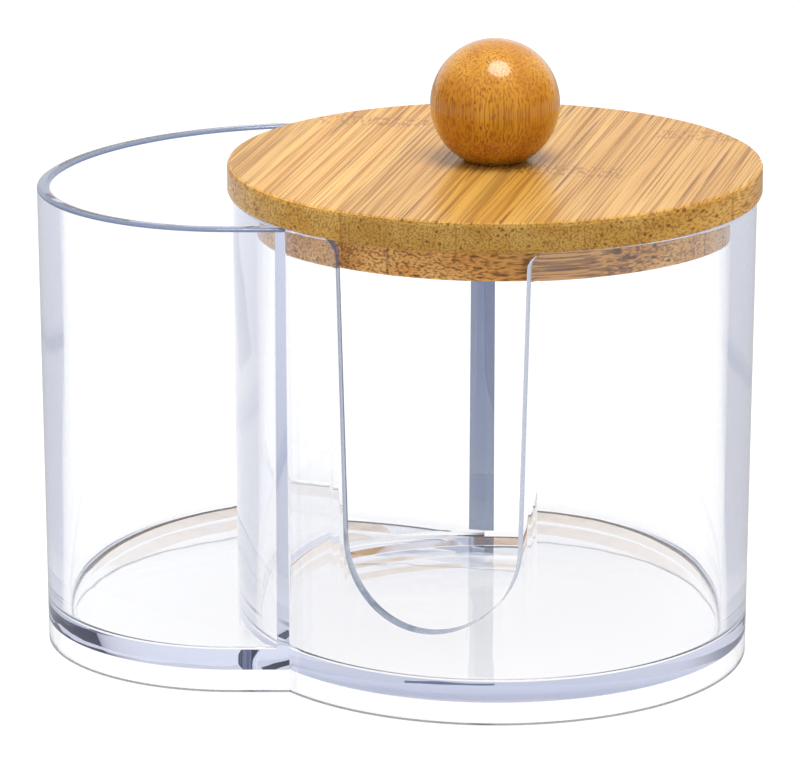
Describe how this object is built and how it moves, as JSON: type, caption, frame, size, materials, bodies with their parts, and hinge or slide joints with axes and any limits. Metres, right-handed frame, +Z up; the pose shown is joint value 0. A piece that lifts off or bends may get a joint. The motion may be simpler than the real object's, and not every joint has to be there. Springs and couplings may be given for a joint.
{
  "type": "cotton swab holder",
  "caption": "Clear holder with a lidded round compartment for cotton pads, a front slot, an open side compartment for cotton swabs and a wooden lift-off lid with a ball knob.",
  "frame": {"origin": "middle of the footprint, on the surface that the holder stands on", "axes": "+X to the right along the holder's length, the side compartment at -X; -Y towards the viewer, with the flat front of the side compartment; +Z up along the lid's axis"},
  "size_m": [0.136, 0.108, 0.1177],
  "materials": {
    "clear_plastic": "clear, polished",
    "bamboo_board": "lacquered bamboo, side grain",
    "bamboo_cross": "bamboo, end grain to the front",
    "bamboo_ball": "glossy lacquered bamboo",
    "screw_steel": "zinc-plated"
  },
  "bodies": {
    "holder": {"container": "clear_plastic"},
    "lid": {"lid_disc": "bamboo_board", "lid_plug": "bamboo_cross", "knob": "bamboo_ball", "knob_screw": "screw_steel"}
  },
  "joints": [
    {"name": "lid_lift", "type": "slide", "parent": "holder", "child": "lid", "axis": [0, 0, 1], "range_m": [0, 0.04]}
  ]
}
